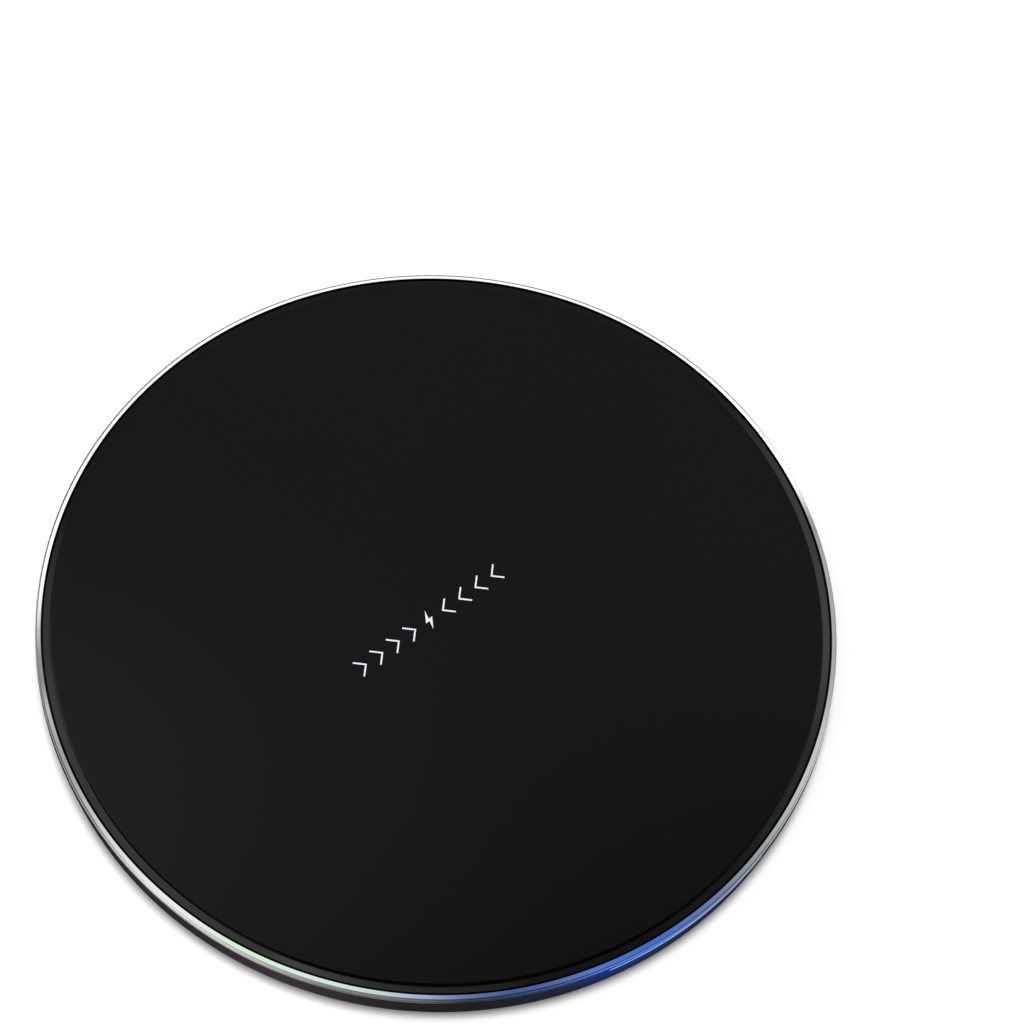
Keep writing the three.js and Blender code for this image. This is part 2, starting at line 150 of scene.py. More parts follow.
class Shader(NodeMaker):
    """A node material with one Principled shader. Its noise has scales in cycles per metre."""

    def __init__(self, name, color, roughness, metallic=0.0, **sockets):
        self.material = bpy.data.materials.new(name)
        super().__init__(self.material, "Object")
        self.shader = self.nodes["Principled BSDF"]
        self.set("Base Color", (*color, 1))
        self.set("Roughness", roughness)
        self.set("Metallic", metallic)
        for socket, value in sockets.items():
            self.set(socket.replace("_", " "), value)

    def set(self, socket, value):
        self.shader.inputs[socket].default_value = value

    def feed(self, socket, output):
        self.links.new(output, self.shader.inputs[socket])

    def noise(self, scale, detail, stretch=None):
        place = self.place
        if stretch:
            place = self.add("Mapping", {"Vector": place, "Scale": stretch}).outputs["Vector"]
        return self.add("TexNoise", {"Vector": place, "Scale": scale, "Detail": detail}).outputs["Fac"]

    def ramp(self, source, stops):
        """A colour ramp; stops are (position, colour)."""
        node = self.add("ValToRGB", {"Fac": source})
        elements = node.color_ramp.elements
        elements[0].position, elements[0].color = stops[0][0], (*stops[0][1], 1)
        elements[1].position, elements[1].color = stops[-1][0], (*stops[-1][1], 1)
        for position, color in stops[1:-1]:
            elements.new(position).color = (*color, 1)
        return node.outputs["Color"]

    def drift(self, scale, detail, first, second):
        """A colour that wanders between two tones."""
        return self.ramp(self.noise(scale, detail), [(0.3, first), (0.7, second)])

    def uneven_gloss(self, scale, detail, low, high, stretch=None):
        self.feed("Roughness", self.spread(self.noise(scale, detail, stretch), low, high))

    def shine(self, color, strength=1.0):
        self.feed("Emission Color", color)
        self.set("Emission Strength", strength)

    def bump(self, source, strength, distance):
        node = self.add("Bump", {"Height": source, "Strength": strength, "Distance": distance})
        self.feed("Normal", node.outputs["Normal"])

    def round_angle(self):
        """Place round the Z axis: 0 and 1 at -X, a quarter at the front, half at +X."""
        node = self.add("TexGradient", {"Vector": self.place})
        node.gradient_type = "RADIAL"
        return node.outputs["Fac"]

    def radius(self):
        """Distance from the Z axis, in metres."""
        flat = self.add("VectorMath", {0: self.place, 1: (1, 1, 0)})
        flat.operation = "MULTIPLY"
        length = self.add("VectorMath", {0: flat.outputs["Vector"]})
        length.operation = "LENGTH"
        return length.outputs["Value"]

    def height(self):
        return self.add("SeparateXYZ", {"Vector": self.place}).outputs["Z"]

    def blend(self, share, first, second):
        """A mix of two colours, each a colour value or a socket."""
        node = self.nodes.new("ShaderNodeMix")
        node.data_type = "RGBA"
        first, second = ((*value, 1) if isinstance(value, tuple) else value for value in (first, second))
        self.connect(node, {"Factor": share, 6: first, 7: second})
        return node.outputs[2]


# ---------------- materials

def make_black_glass():
    """Back-painted glass: an even, slightly soft mirror with a matt ground edge."""
    look = Shader("black_glass", (0.0004, 0.0004, 0.0005), 0.06, IOR=1.5)
    edge = look.spread(look.radius(), 0.0, 1.0, GLASS_HIGH.x - 0.05 * MM, GLASS_HIGH.x - 0.02 * MM)
    smear = look.spread(look.noise(35, 4), 0.04, 0.075, 0.3, 0.7)
    look.feed("Roughness", look.math("MAXIMUM", smear, look.math("MULTIPLY", edge, 0.7)))
    look.feed("Specular IOR Level", look.spread(edge, 0.5, 0.02))
    look.feed("Base Color", look.drift(18, 2, (0.0003, 0.0003, 0.0004), (0.0005, 0.0005, 0.0006)))
    look.bump(look.noise(9000, 2), 0.02, 0.00001)
    return look.material


def turn_share(degrees):
    """Position on the ramps round the pad for an angle counted anticlockwise from +X."""
    return ((degrees + 180) % 360) / 360


# Round the ring, as (angle, value): painted reflections of the studio, carried in the base colour of its
# polished top face, of its outer edge and of its side, and the painted blue glow of the LEDs that each
# carries near the front.
TOP_PAINTED_LIGHT = [
    (-178, grey(0.98)),
    (-168, (0.96, 0.97, 0.97)),
    (-158, (0.75, 0.97, 0.70)),
    (-144, (0.80, 0.92, 0.88)),
    (-137, (0.69, 0.87, 0.87)),
    (-130, (0.50, 0.61, 0.95)),
    (-125, (0.29, 0.38, 0.68)),
    (-118, (0.20, 0.30, 0.60)),
    (-111, (0.40, 0.58, 0.90)),
    (-104, (0.27, 0.45, 0.76)),
    (-96, (0.28, 0.43, 0.62)),
    (-88, (0.56, 0.60, 0.57)),
    (-81, (0.84, 0.98, 0.76)),
    (-73, (0.80, 0.94, 0.94)),
    (-64, grey(0.95)),
    (90, grey(0.97)),
    (131, grey(0.86)),
    (141, grey(0.66)),
    (148, grey(0.28)),
    (152, grey(0.38)),
    (156, grey(0.85)),
    (163, grey(0.98)),
]

TOP_PAINTED_GLOW = [
    (-130, grey(0)),
    (-122, (0.000, 0.005, 0.060)),
    (-112, (0.000, 0.015, 0.180)),
    (-107, (0.020, 0.080, 0.380)),
    (-97, (0.000, 0.050, 0.420)),
    (-88, (0.000, 0.050, 0.320)),
    (-80, (0.000, 0.030, 0.120)),
    (-70, grey(0)),
]

EDGE_PAINTED_LIGHT = [
    (-172, grey(0.85)),
    (-159, (0.54, 0.56, 0.54)),
    (-144, (0.24, 0.26, 0.25)),
    (-131, (0.14, 0.16, 0.17)),
    (-125, (0.050, 0.070, 0.14)),
    (-118, (0.040, 0.073, 0.19)),
    (-111, (0.097, 0.12, 0.25)),
    (-104, (0.15, 0.27, 0.58)),
    (-96, (0.13, 0.22, 0.30)),
    (-88, (0.22, 0.21, 0.17)),
    (-67, (0.60, 0.60, 0.56)),
    (-52, grey(0.80)),
    (-24, grey(0.85)),
    (-14, grey(0.75)),
    (-6, grey(0.30)),
    (0, grey(0.080)),
    (15, grey(0.12)),
    (60, grey(0.10)),
    (100, grey(0.10)),
    (120, grey(0.055)),
    (142, grey(0.22)),
    (158, grey(0.26)),
    (174, grey(0.28)),
]

SIDE_PAINTED_LIGHT = [
    (-174, grey(0.72)),
    (-159, grey(0.92)),
    (-144, (0.31, 0.29, 0.29)),
    (-131, (0.21, 0.21, 0.20)),
    (-125, (0.090, 0.090, 0.12)),
    (-118, (0.075, 0.10, 0.15)),
    (-111, (0.080, 0.10, 0.14)),
    (-104, (0.050, 0.070, 0.14)),
    (-96, (0.18, 0.18, 0.080)),
    (-88, (0.22, 0.17, 0.080)),
    (-67, (0.31, 0.31, 0.33)),
    (-52, grey(0.41)),
    (-35, grey(0.62)),
    (143, grey(0.56)),
    (158, grey(0.32)),
    (174, grey(0.35)),
]

SIDE_PAINTED_GLOW = [
    (-122, grey(0)),
    (-112, (0.000, 0.008, 0.050)),
    (-103, (0.000, 0.030, 0.200)),
    (-96, (0.000, 0.055, 0.310)),
    (-89, (0.000, 0.040, 0.180)),
    (-82, (0.000, 0.015, 0.060)),
    (-72, grey(0)),
]

# Round the base, in the same way: the share of plum in its tone, and the painted blue glow of the LEDs on
# its wall. Last, the light guide's own light.
BASE_PLUM = [
    (-165, grey(0.45)),
    (-150, grey(1)),
    (-134, grey(0.15)),
    (-118, grey(0)),
    (170, grey(0.2)),
]

BASE_PAINTED_GLOW = [
    (-122, grey(0)),
    (-111, (0.001, 0.006, 0.035)),
    (-105, (0.001, 0.020, 0.17)),
    (-99, (0.002, 0.022, 0.13)),
    (-94, (0.004, 0.016, 0.07)),
    (-86, (0.005, 0.010, 0.035)),
    (-72, grey(0)),
]

GUIDE_GLOW = [
    (-104, (0.03, 0.06, 0.20)),
    (-97, (0.08, 0.20, 0.70)),
    (-91, (0.20, 0.42, 0.95)),
    (-86, (0.26, 0.38, 0.70)),
    (-80, (0.18, 0.20, 0.34)),
    (-74, (0.10, 0.10, 0.14)),
]


def round_stops(entries):
    """Ramp stops from (angle, value) pairs, closed on themselves at -X."""
    stops = [(turn_share(angle), value) for angle, value in entries]
    first, last = stops[0], stops[-1]
    run = first[0] + 1 - last[0]
    share = (1 - last[0]) / run
    seam = tuple(a + (b - a) * share for a, b in zip(last[1], first[1]))
    return [(0.0, seam), *stops, (1.0, seam)]


def make_polished_aluminium():
    """Fine turned grooves, a polished sloping top, an outer edge and a side, with painted reflections and
    painted blue LED glow round the ring, a darkened reflection on the outer edge, and painted shade on the
    inner wall.
    """
    look = Shader("polished_aluminium", grey(0.92), 0.16, 1.0)
    around = look.round_angle()
    radius = look.radius()
    grooves = look.add("TexWave", {"Vector": look.place, "Scale": 3500, "Distortion": 0.6})
    grooves.wave_type = "RINGS"
    grooves.rings_direction = "Z"
    look.bump(grooves.outputs["Fac"], 0.06, 0.00001)
    look.feed("Roughness", look.spread(look.noise(260, 5), 0.05, 0.11, 0.3, 0.75))
    outer = look.spread(radius, 0.0, 1.0, PAD_RADIUS - 0.25 * MM, PAD_RADIUS - 0.21 * MM)
    side = look.spread(look.height(), 1.0, 0.0, SHOULDER_Z - 0.14 * MM, SHOULDER_Z - 0.04 * MM)
    wall = PAD_RADIUS - RING_WIDTH
    # Below the glass the ring's inner wall is painted near black: painted shade in the gap between glass
    # and ring.
    inner = look.spread(radius, 1.0, 0.0, wall + 0.01 * MM, wall + 0.04 * MM)
    # The top, edge and side tones are painted reflections and painted LED blue, blended into one base
    # colour.
    top_painted_light = look.ramp(around, round_stops(TOP_PAINTED_LIGHT))
    edge_painted_light = look.ramp(around, round_stops(EDGE_PAINTED_LIGHT))
    side_painted_light = look.ramp(around, round_stops(SIDE_PAINTED_LIGHT))
    tone = look.blend(side, look.blend(outer, top_painted_light, edge_painted_light), side_painted_light)
    look.feed("Base Color", look.blend(inner, tone, grey(0.02)))
    # The outer edge reflects only a third as much at grazing angles: a painted dark line round the ring's
    # outer edge.
    look.feed("Specular Tint", look.blend(outer, grey(1), grey(0.33)))
    # Emission: painted blue glow of the LEDs on the ring's top, edge and side near the front, none on the
    # inner wall.
    top_painted_glow = look.ramp(around, round_stops(TOP_PAINTED_GLOW))
    side_painted_glow = look.ramp(around, round_stops(SIDE_PAINTED_GLOW))
    look.shine(look.blend(inner, look.blend(outer, top_painted_glow, side_painted_glow), grey(0)))
    return look.material


def make_black_moulding():
    """Fine-grained moulding, matt on the wall. By the light, the wall carries a painted blue glow of the
    LEDs, strongest at its top.
    """
    look = Shader("black_moulding", (0.014, 0.014, 0.015), 0.5, Specular_IOR_Level=0.1)
    radius = look.radius()
    look.bump(look.noise(5200, 2), 0.3, 0.00003)
    look.feed("Roughness", look.spread(look.noise(220, 4), 0.42, 0.58, 0.3, 0.7))
    gloss = look.spread(radius, 0.35, 0.0, PAD_RADIUS - 3 * MM, PAD_RADIUS - 1.3 * MM)
    look.feed("Specular IOR Level", gloss)
    tone = look.drift(60, 3, (0.010, 0.0095, 0.010), (0.016, 0.015, 0.016))
    plum = look.ramp(look.round_angle(), round_stops(BASE_PLUM))
    look.feed("Base Color", look.blend(plum, tone, (0.038, 0.028, 0.033)))
    # Emission on the outer wall near the light: painted blue glow of the LEDs, fading towards the bottom.
    painted_glow = look.ramp(look.round_angle(), round_stops(BASE_PAINTED_GLOW))
    wall = look.spread(radius, 0.0, 1.0, PAD_RADIUS - 1.2 * MM, PAD_RADIUS - 0.7 * MM)
    upper = look.spread(look.height(), 0.1, 1.0, BASE_LOW.z, BASE_HIGH.z)
    look.shine(look.blend(look.math("MULTIPLY", upper, wall), grey(0), painted_glow))
    return look.material


def make_light_guide_look():
    """Clear acrylic, lit from behind by the LEDs and brightest in the middle."""
    look = Shader("light_guide", (0.25, 0.45, 0.9), 0.25, IOR=1.49)
    look.shine(look.ramp(look.round_angle(), round_stops(GUIDE_GLOW)))
    look.uneven_gloss(900, 3, 0.2, 0.4)
    return look.material


def make_rubber():
    look = Shader("rubber", (0.03, 0.03, 0.032), 0.85, Specular_IOR_Level=0.3)
    look.bump(look.noise(4200, 4), 0.5, 0.00004)
    look.uneven_gloss(300, 3, 0.75, 0.95)
    look.feed("Base Color", look.drift(150, 3, grey(0.024), grey(0.042)))
    return look.material


def make_steel():
    look = Shader("steel", (0.62, 0.63, 0.64), 0.3, 1.0)
    look.uneven_gloss(900, 4, 0.22, 0.42, (1, 8, 1))
    look.feed("Base Color", look.drift(400, 3, (0.55, 0.56, 0.57), (0.68, 0.69, 0.70)))
    look.bump(look.noise(2600, 3, (1, 12, 1)), 0.15, 0.00001)
    return look.material


def make_grained(name, dark, light, roughness, grain_scale, tone_scale):
    """A plain material with a fine grain, a drift of tone and an uneven gloss."""
    look = Shader(name, light, roughness)
    look.feed("Base Color", look.drift(tone_scale, 4, dark, light))
    look.uneven_gloss(tone_scale * 2, 3, roughness * 0.85, min(1, roughness * 1.15))
    look.bump(look.noise(grain_scale, 3), 0.3, 0.00002)
    return look.material


def make_ink():
    look = Shader("ink", (0.60, 0.60, 0.70), 0.45)
    look.feed("Base Color", look.drift(1400, 3, (0.52, 0.52, 0.62), (0.66, 0.66, 0.76)))
    look.bump(look.noise(9000, 2), 0.2, 0.00001)
    return look.material


def make_copper_wire():
    """Enamelled stranded wire: the strands run slantwise round it."""
    look = Shader("copper_wire", (0.72, 0.31, 0.13), 0.35, 1.0)
    along = look.nodes.new("ShaderNodeTexCoord").outputs["UV"]
    stretched = look.add("Mapping", {"Vector": along, "Scale": (9, 1.5, 1)}).outputs["Vector"]
    strands = look.add("TexWave", {"Vector": stretched, "Scale": 6, "Distortion": 0.4})
    strands.bands_direction = "DIAGONAL"
    look.bump(strands.outputs["Fac"], 0.8, 0.00006)
    gap_and_crest = [(0.1, (0.42, 0.15, 0.06)), (0.7, (0.80, 0.37, 0.17))]
    look.feed("Base Color", look.ramp(strands.outputs["Fac"], gap_and_crest))
    look.uneven_gloss(700, 3, 0.25, 0.5)
    return look.material


def make_copper():
    look = Shader("copper", (0.85, 0.55, 0.28), 0.3, 1.0)
    look.feed("Base Color", look.drift(500, 4, (0.78, 0.46, 0.22), (0.90, 0.62, 0.34)))
    look.uneven_gloss(1500, 3, 0.2, 0.42)
    look.bump(look.noise(6000, 2), 0.1, 0.00001)
    return look.material


def make_board():
    """Green solder mask with a faint network of tracks under it and a fine grain."""
    look = Shader("circuit_board", (0.01, 0.09, 0.04), 0.35)
    tracks = look.add("TexBrick", {"Vector": look.place, "Scale": 170})
    look.connect(tracks, {"Mortar Size": 0.035, "Mortar Smooth": 0.2})
    tracks.offset_frequency = 3
    near_track = tracks.outputs["Fac"]
    field_and_track = [(0.0, (0.006, 0.070, 0.030)), (1.0, (0.014, 0.125, 0.050))]
    look.feed("Base Color", look.ramp(near_track, field_and_track))
    look.uneven_gloss(900, 3, 0.28, 0.45)
    look.bump(look.math("ADD", near_track, look.math("MULTIPLY", look.noise(5000, 2), 0.3)), 0.4, 0.00002)
    return look.material


def make_glowing_window():
    """The LED's window: clear resin that shines blue."""
    look = Shader("led_window", (0.5, 0.6, 0.9), 0.3)
    look.shine(look.drift(2500, 2, (0.10, 0.30, 1.0), (0.22, 0.45, 1.0)), 1.5)
    look.uneven_gloss(3000, 2, 0.2, 0.4)
    look.bump(look.noise(4000, 2), 0.1, 0.00001)
    return look.material


# ---------------- mesh helpers

def add_object(name, mesh, material, replaced=()):
    """Links a finished mesh as a piece on the root body."""
    mesh.name = name
    shade_smooth(mesh)
    mesh.materials.append(material)
    piece = new_object(name, mesh)
    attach(piece, "root")
    if replaced:
        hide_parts(*replaced)
    keep_faces_flat(piece)
    return piece


def stand_in(node, mesh, material):
    """Links the finished mesh that takes a CAD node's place."""
    return add_object(node + "_fine", mesh, material, [node])


def shade_smooth(mesh):
    """Smooth shading, with the edges kept sharp."""
    mesh.polygons.foreach_set("use_smooth", [True] * len(mesh.polygons))
    mesh.set_sharp_from_angle(angle=SHARP_ANGLE)


def keep_faces_flat(piece):
    """Smooth shading that leaves the large faces flat and bends only over the small ones."""
    modifier = piece.modifiers.new("weighted_normals", "WEIGHTED_NORMAL")
    modifier.mode = "FACE_AREA"
    modifier.weight = 100
    modifier.keep_sharp = True


def to_mesh(bm):
    bmesh.ops.recalc_face_normals(bm, faces=bm.faces)
    mesh = bpy.data.meshes.new("mesh")
    bm.to_mesh(mesh)
    bm.free()
    return mesh


def corner_points(before, corner, after, fillet):
    """The points of an arc of radius fillet in the corner between two neighbours."""
    here = Vector(corner)
    into = (Vector(before) - here).normalized()
    out = (Vector(after) - here).normalized()
    half = into.angle(out) / 2
    shortest = min((Vector(before) - here).length, (Vector(after) - here).length)
    run = min(fillet / math.tan(half), 0.49 * shortest)
    radius = run * math.tan(half)
    centre = here + (into + out).normalized() * (radius / math.sin(half))
    start = here + into * run - centre
    end = here + out * run - centre
    sweep = start.angle_signed(end)
    points = []
    for step in range(CORNER_STEPS + 1):
        angle = -sweep * step / CORNER_STEPS
        cos, sin = math.cos(angle), math.sin(angle)
        points.append((centre.x + start.x * cos - start.y * sin, centre.y + start.x * sin + start.y * cos))
    return points


def rounded(corners, closed):
    """An outline through (x, y, fillet) or (radius, height, fillet) corners, with its corners rounded."""
    outline = []
    count = len(corners)
    for index, (r, z, fillet) in enumerate(corners):
        at_end = not closed and index in (0, count - 1)
        if fillet == 0 or at_end:
            outline.append((r, z))
            continue
        before = corners[(index - 1) % count][:2]
        after = corners[(index + 1) % count][:2]
        outline += corner_points(before, (r, z), after, fillet)
    return outline


def turned(corners, steps=RIM_STEPS, centre=(0, 0), span=None):
    """A mesh turned about a vertical axis. Corners go anticlockwise in (radius, height), in metres.

    span is (start angle, sweep) of a piece that goes only part of the way round.
    """
    on_axis = corners[0][0] == 0
    outline = rounded(corners, closed=not on_axis)
    start, sweep = span or (0, 2 * math.pi)
    bm = bmesh.new()
    columns = []
    poles = {}
    for step in range(steps + 1 if span else steps):
        angle = start + sweep * step / steps
        column = []
        for index, (r, z) in enumerate(outline):
            if r == 0:
                if index not in poles:
                    poles[index] = bm.verts.new((centre[0], centre[1], z))
                column.append(poles[index])
            else:
                place = (centre[0] + r * math.cos(angle), centre[1] + r * math.sin(angle), z)
                column.append(bm.verts.new(place))
        columns.append(column)
    rows = len(outline) - 1 if on_axis else len(outline)
    for step in range(steps):
        here, there = columns[step], columns[(step + 1) % len(columns)]
        for row in range(rows):
            above = (row + 1) % len(outline)
            ring = [here[row], there[row], there[above], here[above]]
            bm.faces.new(list(dict.fromkeys(ring)))
    if span:
        bm.faces.new(columns[0])
        bm.faces.new(columns[-1][::-1])
    return to_mesh(bm)


def rectangle(x0, y0, x1, y1):
    return [(x0, y0), (x1, y0), (x1, y1), (x0, y1)]


def rounded_outline(half_width, half_depth, fillet):
    corners = rectangle(-half_width, -half_depth, half_width, half_depth)
    return rounded([(x, y, fillet) for x, y in corners], closed=True)


def add_plate(bm, outline, low, high):
    bottom = [bm.verts.new((x, y, low)) for x, y in outline]
    top = [bm.verts.new((x, y, high)) for x, y in outline]
    bm.faces.new(bottom[::-1])
    bm.faces.new(top)
    for index in range(len(outline)):
        after = (index + 1) % len(outline)
        bm.faces.new((bottom[index], bottom[after], top[after], top[index]))


def prism(outline, low, high):
    """A solid with a flat outline of (x, y) points, from low to high."""
    bm = bmesh.new()
    add_plate(bm, outline, low, high)
    return to_mesh(bm)


def reshape(piece, operation, *tools):
    """Cuts other meshes out of a piece or joins them to it, and removes them."""
    piece.modifiers.clear()
    for mesh in tools:
        tool = new_object("tool", mesh)
        modifier = piece.modifiers.new("reshape", "BOOLEAN")
        modifier.operation = operation
        modifier.solver = "EXACT"
        modifier.object = tool
        bpy.context.view_layer.update()
        evaluated = piece.evaluated_get(bpy.context.evaluated_depsgraph_get())
        result = bpy.data.meshes.new_from_object(evaluated)
        piece.modifiers.clear()
        piece.data = result
        bpy.data.objects.remove(tool)
    shade_smooth(piece.data)
    keep_faces_flat(piece)


def sector(half_angle, reach):
    """Outline of a wedge from the axis to the front, half_angle each side."""
    half_width = reach * math.tan(half_angle)
    return [(0, 0), (-half_width, -reach), (half_width, -reach)]


# ---------------- visible pieces

def make_top_glass(material):
    radius = GLASS_HIGH.x
    bevel_width = 0.95 * MM
    bevel_drop = 0.25 * MM
    face_rings = [radius * share for share in (0.9, 0.7, 0.45, 0.2)]    # keep its faces well shaped
    corners = [
        (0, GLASS_LOW.z, 0),
        (radius - 0.1 * MM, GLASS_LOW.z, 0),
        (radius, GLASS_LOW.z + 0.1 * MM, 0),
        (radius, PAD_TOP - bevel_drop, 0.03 * MM),
        (radius - bevel_width, PAD_TOP, 2.2 * MM),
        *((ring, PAD_TOP, 0) for ring in face_rings),
        (0, PAD_TOP, 0),
    ]
    stand_in("top_glass", turned(corners), material)


def make_bezel(material):
    inner = PAD_RADIUS - RING_WIDTH
    skirt = PAD_RADIUS - 1.5 * MM
    ledge = PAD_RADIUS - 2 * MM
    lip = PAD_RADIUS - 3.1 * MM
    ledge_z = GLASS_LOW.z - 0.15 * MM
    lip_top = BEZEL_LOW.z + 0.5 * MM
    corners = [
        (lip, BEZEL_LOW.z, 0.05 * MM),
        (skirt, BEZEL_LOW.z, 0.05 * MM),
        (skirt, RING_BOTTOM, 0.02 * MM),
        (PAD_RADIUS - 0.05 * MM, RING_BOTTOM, 0.05 * MM),
        (PAD_RADIUS, SHOULDER_Z, 0.15 * MM),
        (inner, RING_TOP, 0.02 * MM),
        (inner, ledge_z, 0),
        (ledge, ledge_z, 0.04 * MM),
        (ledge, lip_top, 0.04 * MM),
        (lip, lip_top, 0.05 * MM),
    ]
    piece = stand_in("bezel_ring", turned(corners), material)
    guide_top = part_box("light_guide")[1].z
    lit_sector = sector(guide_half_angle() + math.radians(0.3), 1.5 * PAD_RADIUS)
    light_cut = prism(lit_sector, BEZEL_LOW.z - MM, guide_top + 0.03 * MM)
    socket_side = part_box("socket_shell")[1].x + 0.2 * MM
    way_in = rectangle(-socket_side, lip - MM, socket_side, skirt + 0.5 * MM)
    socket_cut = prism(way_in, BEZEL_LOW.z - MM, RING_BOTTOM)
    reshape(piece, "DIFFERENCE", light_cut, socket_cut)


def guide_half_angle():
    return math.asin(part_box("light_guide")[1].x / (PAD_RADIUS - 0.05 * MM))


def fixing_places():
    """Centres of the four feet, which hide the screws."""
    for number in range(1, 5):
        low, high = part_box(f"rubber_foot_{number}")
        yield (low + high) / 2


def disc(radius, low, high, centre, steps=SMALL_STEPS):
    corners = [(0, low, 0), (radius, low, 0), (radius, high, 0), (0, high, 0)]
    return turned(corners, steps, (centre.x, centre.y))


def slot_outline(half_width, radius, steps=12):
    """Round-ended slot as (x, z) offsets, anticlockwise."""
    reach = half_width - radius
    points = []
    for side, first in ((1, -90), (-1, 90)):
        for step in range(steps + 1):
            angle = math.radians(first + 180 * step / steps)
            points.append((side * reach + radius * math.cos(angle), radius * math.sin(angle)))
    return points


def slot_body(loops, height, closed_loop):
    """A body through round-ended slots; each loop is (half width, radius, y)."""
    bm = bmesh.new()
    rings = []
    for half_width, radius, y in loops:
        outline = slot_outline(half_width, radius)
        rings.append([bm.verts.new((x, y, height + z)) for x, z in outline])
    pairs = list(zip(rings, rings[1:]))
    if closed_loop:
        pairs.append((rings[-1], rings[0]))
    else:
        bm.faces.new(rings[0])
        bm.faces.new(rings[-1])
    for here, there in pairs:
        for index in range(len(here)):
            after = (index + 1) % len(here)
            bm.faces.new((here[index], here[after], there[after], there[index]))
    return to_mesh(bm)


def make_base(material):
    """The moulded base: sloping wall, rebate for the ring's skirt, four bosses, and its openings."""
    wall_top = PAD_RADIUS + 0.05 * MM    # a hair proud of the ring
    wall_foot = PAD_RADIUS - 0.5 * MM
    foot_z = 0.95 * MM
    skirt = PAD_RADIUS - 1.4 * MM
    inside = PAD_RADIUS - 2 * MM
    floor_top = BASE_LOW.z + 0.9 * MM
    shelf = BEZEL_LOW.z - 0.15 * MM
    corners = [
        (0, BASE_LOW.z, 0),
        (wall_foot - 0.5 * MM, BASE_LOW.z, 0.2 * MM),
        (wall_foot, foot_z, 0.2 * MM),
        (wall_top, BASE_HIGH.z, 0.08 * MM),
        (skirt, BASE_HIGH.z, 0.05 * MM),
        (skirt, shelf, 0.05 * MM),
        (inside, shelf, 0.05 * MM),
        (inside, floor_top + 0.5 * MM, 0.2 * MM),
        (inside - 0.6 * MM, floor_top, 0.2 * MM),
        (0, floor_top, 0),
    ]
    piece = stand_in("base_shell", turned(corners), material)
    board_low, board_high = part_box("circuit_board")
    seat_radius = 5.8 * MM
    boss_radius = 2.9 * MM
    head_radius = 2.1 * MM
    head_depth = 2.1 * MM
    shank_radius = 1.1 * MM
    boss_low = floor_top - 0.3 * MM
    boss_top = board_high.z - 0.1 * MM
    places = list(fixing_places())
    for centre in places:
        reshape(piece, "UNION", disc(seat_radius, boss_low, board_low.z - 0.05 * MM, centre))
        reshape(piece, "UNION", disc(boss_radius, boss_low, boss_top, centre))
    foot_low, foot_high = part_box("rubber_foot_1")
    foot_radius = (foot_high.x - foot_low.x) / 2 + 0.15 * MM
    for centre in places:
        reshape(
            piece,
            "DIFFERENCE",
            disc(foot_radius, -MM, foot_high.z + 0.05 * MM, centre),
            disc(head_radius, -MM, head_depth, centre, SCREW_STEPS),
            disc(shank_radius, -MM, boss_top + MM, centre, SCREW_STEPS),
        )
    reshape(piece, "DIFFERENCE", socket_opening(), socket_slot())


def socket_opening():
    low, high = socket_box()
    half_width = (high.x - low.x) / 2 + 0.25 * MM
    radius = (high.z - low.z) / 2 + 0.05 * MM
    loops = [(half_width, radius, PAD_RADIUS - 3 * MM), (half_width, radius, PAD_RADIUS + MM)]
    return slot_body(loops, (low.z + high.z) / 2, False)


def socket_slot():
    """The way in for the socket from above, open at the top of the wall."""
    low, high = socket_box()
    side = high.x + 0.25 * MM
    outline = rectangle(-side, PAD_RADIUS - 3 * MM, side, PAD_RADIUS + MM)
    return prism(outline, (low.z + high.z) / 2, BASE_HIGH.z + MM)


def socket_box():
    """Box of the socket's round-ended barrel, without the tabs on its sides."""
    low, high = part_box("socket_shell")
    half_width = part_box("socket_tongue")[1].x + 0.35 * MM
    return Vector((-half_width, low.y, low.z)), Vector((half_width, high.y, high.z))


def make_light_guide(material):
    """A bent bar that rises inside the base wall and ends in the thin lit line under the ring."""
    low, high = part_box("light_guide")
    half_angle = guide_half_angle()
    entry_top = 4.33 * MM
    neck_outer = PAD_RADIUS - 1.55 * MM
    neck_inner = PAD_RADIUS - 1.95 * MM
    exit_low = BASE_HIGH.z + 0.03 * MM
    face = PAD_RADIUS - 0.05 * MM
    back = PAD_RADIUS - 5.2 * MM
    corners = [
        (back, low.z, 0.1 * MM),
        (PAD_RADIUS - 2.8 * MM, low.z, 0.2 * MM),
        (neck_outer, entry_top, 0.1 * MM),
        (neck_outer, exit_low, 0.03 * MM),
        (face, exit_low, 0.05 * MM),
        (face, high.z, 0.05 * MM),
        (neck_inner, high.z, 0.1 * MM),
        (neck_inner, entry_top, 0.05 * MM),
        (back, entry_top, 0.1 * MM),
    ]
    mesh = turned(corners, 64, span=(-math.pi / 2 - half_angle, 2 * half_angle))
    stand_in("light_guide", mesh, material)


def make_mark(material):
    """A small printed mark: a lightning bolt between two rows of chevrons that point at it."""
    stroke = 0.2 * MM
    chevrons = 4
    first_tip = 2.2 * MM
    pitch = 2.6 * MM
    reach = 1.15 * MM
    half_height = 1.15 * MM
    bottom = PAD_TOP + 0.002 * MM
    top = PAD_TOP + 0.016 * MM
    bm = bmesh.new()
    for side in (-1, 1):
        for number in range(chevrons):
            tip = side * (first_tip + pitch * number)
            points = [(tip + side * reach, half_height), (tip, 0), (tip + side * reach, -half_height)]
            add_stroke(bm, points, stroke, bottom, top)
    bolt = [(0.35, 1.3), (-0.6, -0.15), (-0.05, -0.15), (-0.35, -1.3), (0.6, 0.15), (0.05, 0.15)]
    add_plate(bm, [(x * MM, y * MM) for x, y in bolt], bottom, top)
    piece = add_object("printed_mark", to_mesh(bm), material)
    piece.location = (-0.8 * MM, 0.8 * MM, 0)    # a little off the middle of the glass


